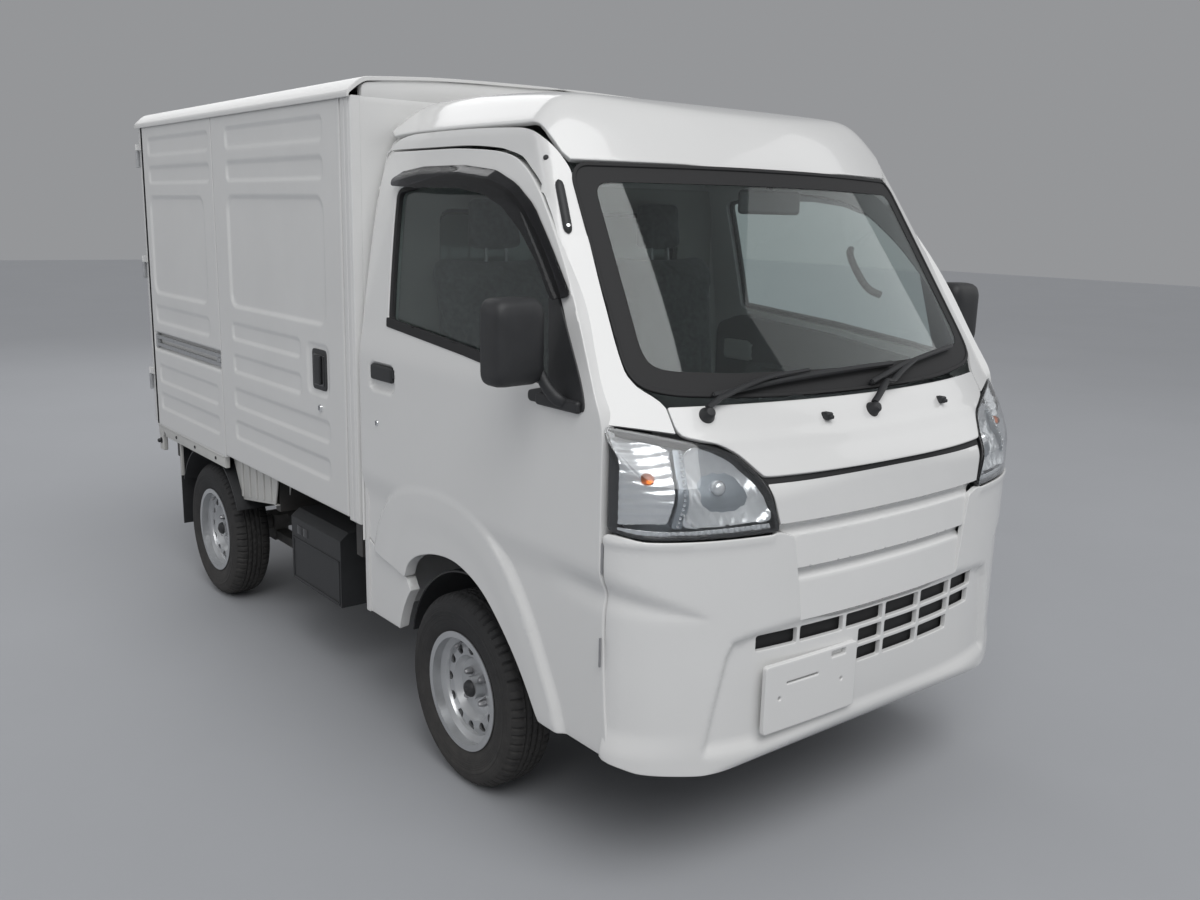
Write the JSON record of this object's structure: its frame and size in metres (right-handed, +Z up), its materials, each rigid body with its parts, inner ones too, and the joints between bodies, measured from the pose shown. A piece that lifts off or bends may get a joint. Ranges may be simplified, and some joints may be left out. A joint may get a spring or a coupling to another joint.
{
  "type": "light box truck",
  "caption": "Small cab-over light truck with a high-roof cab and a closed cargo box with sliding side doors and swing rear doors.",
  "frame": {"origin": "on the ground under the middle of the truck", "axes": "+Z up, the truck faces -Y, +X is the vehicle's left"},
  "size_m": [1.76, 3.395, 1.944],
  "materials": {
    "white_paint": "gloss",
    "frame_black": "satin",
    "cast": "rough",
    "steel": "satin",
    "wheel_silver": "satin",
    "tyre": "matt",
    "glass": "clear",
    "lens": "clear",
    "black_plastic": "grained",
    "grey_plastic": "grained",
    "white_plastic": "gloss",
    "fabric": "woven",
    "wood": "plain"
  },
  "bodies": {
    "truck": {"chassis_frame": "frame_black", "cross_members": "frame_black", "bed_rails": "frame_black", "box_bearers": "frame_black", "engine": "cast", "exhaust": "steel", "fuel_tank": "black_plastic", "battery_box": "black_plastic", "front_suspension": "frame_black", "rear_axle": "frame_black", "cab_shell": "white_paint", "cab_floor": "white_paint", "cab_roof": "white_paint", "cab_glass": "glass", "hood": "white_paint", "grille_panel": "white_plastic", "front_bumper": "white_plastic", "lamps": "lens", "mudguards": "black_plastic", "dashboard": "grey_plastic", "seats": "fabric", "box_floor": "wood", "box_front_wall": "white_paint", "box_roof": "white_paint", "rear_frame": "white_paint", "side_panels": "white_paint", "side_doors": "white_paint"},
    "rack": {"steering_rack": "steel"},
    "knuckle_left": {"knuckle_left": "cast"},
    "knuckle_right": {"knuckle_right": "cast"},
    "wheel_front_left": {"rim_front_left": "wheel_silver", "tyre_front_left": "tyre"},
    "wheel_front_right": {"rim_front_right": "wheel_silver", "tyre_front_right": "tyre"},
    "wheel_rear_left": {"rim_rear_left": "wheel_silver", "tyre_rear_left": "tyre"},
    "wheel_rear_right": {"rim_rear_right": "wheel_silver", "tyre_rear_right": "tyre"},
    "steering_wheel": {"steering_wheel": "black_plastic"},
    "cab_door_left": {"door_left": "white_paint", "door_glass_left": "glass", "mirror_left": "black_plastic"},
    "cab_door_right": {"door_right": "white_paint", "door_glass_right": "glass", "mirror_right": "black_plastic"},
    "box_door_left": {"rear_door_left": "white_paint"},
    "box_door_right": {"rear_door_right": "white_paint"}
  },
  "joints": [
    {"name": "steer_left", "type": "hinge", "parent": "truck", "child": "knuckle_left", "pos_m": [0.575, -0.8475, 0.268], "axis": [0, 0, 1], "range_deg": [-33, 33]},
    {"name": "steer_right", "type": "hinge", "parent": "truck", "child": "knuckle_right", "pos_m": [-0.575, -0.8475, 0.268], "axis": [0, 0, 1], "range_deg": [-33, 33]},
    {"name": "steering_wheel_turn", "type": "hinge", "parent": "truck", "child": "steering_wheel", "pos_m": [-0.33, -1.085, 1.02], "axis": [0, 0.6, 0.8], "range_deg": [-495, 495]},
    {"name": "rack_slide", "type": "slide", "parent": "truck", "child": "rack", "axis": [1, 0, 0], "range_m": [-0.055, 0.055]},
    {"name": "spin_front_left", "type": "hinge", "parent": "knuckle_left", "child": "wheel_front_left", "pos_m": [0.6525, -0.8475, 0.268], "axis": [1, 0, 0], "continuous": true},
    {"name": "spin_front_right", "type": "hinge", "parent": "knuckle_right", "child": "wheel_front_right", "pos_m": [-0.6525, -0.8475, 0.268], "axis": [1, 0, 0], "continuous": true},
    {"name": "spin_rear_left", "type": "hinge", "parent": "truck", "child": "wheel_rear_left", "pos_m": [0.6525, 1.0525, 0.268], "axis": [1, 0, 0], "continuous": true},
    {"name": "spin_rear_right", "type": "hinge", "parent": "truck", "child": "wheel_rear_right", "pos_m": [-0.6525, 1.0525, 0.268], "axis": [1, 0, 0], "continuous": true},
    {"name": "cab_door_left_swing", "type": "hinge", "parent": "truck", "child": "cab_door_left", "pos_m": [0.732, -1.4688, 0.7], "axis": [0, 0, -1], "range_deg": [0, 65]},
    {"name": "cab_door_right_swing", "type": "hinge", "parent": "truck", "child": "cab_door_right", "pos_m": [-0.732, -1.4688, 0.7], "axis": [0, 0, 1], "range_deg": [0, 65]},
    {"name": "box_door_left_swing", "type": "hinge", "parent": "truck", "child": "box_door_left", "pos_m": [0.741, 1.69, 1.2], "axis": [0, 0, -1], "range_deg": [0, 180]},
    {"name": "box_door_right_swing", "type": "hinge", "parent": "truck", "child": "box_door_right", "pos_m": [-0.741, 1.69, 1.2], "axis": [0, 0, 1], "range_deg": [0, 180]}
  ],
  "couplings": [
    {"joint": "steer_right", "follows": "steer_left", "ratio": 1},
    {"joint": "steering_wheel_turn", "follows": "steer_left", "ratio": 15},
    {"joint": "rack_slide", "follows": "steer_left", "m_per_rad": 0.095}
  ]
}
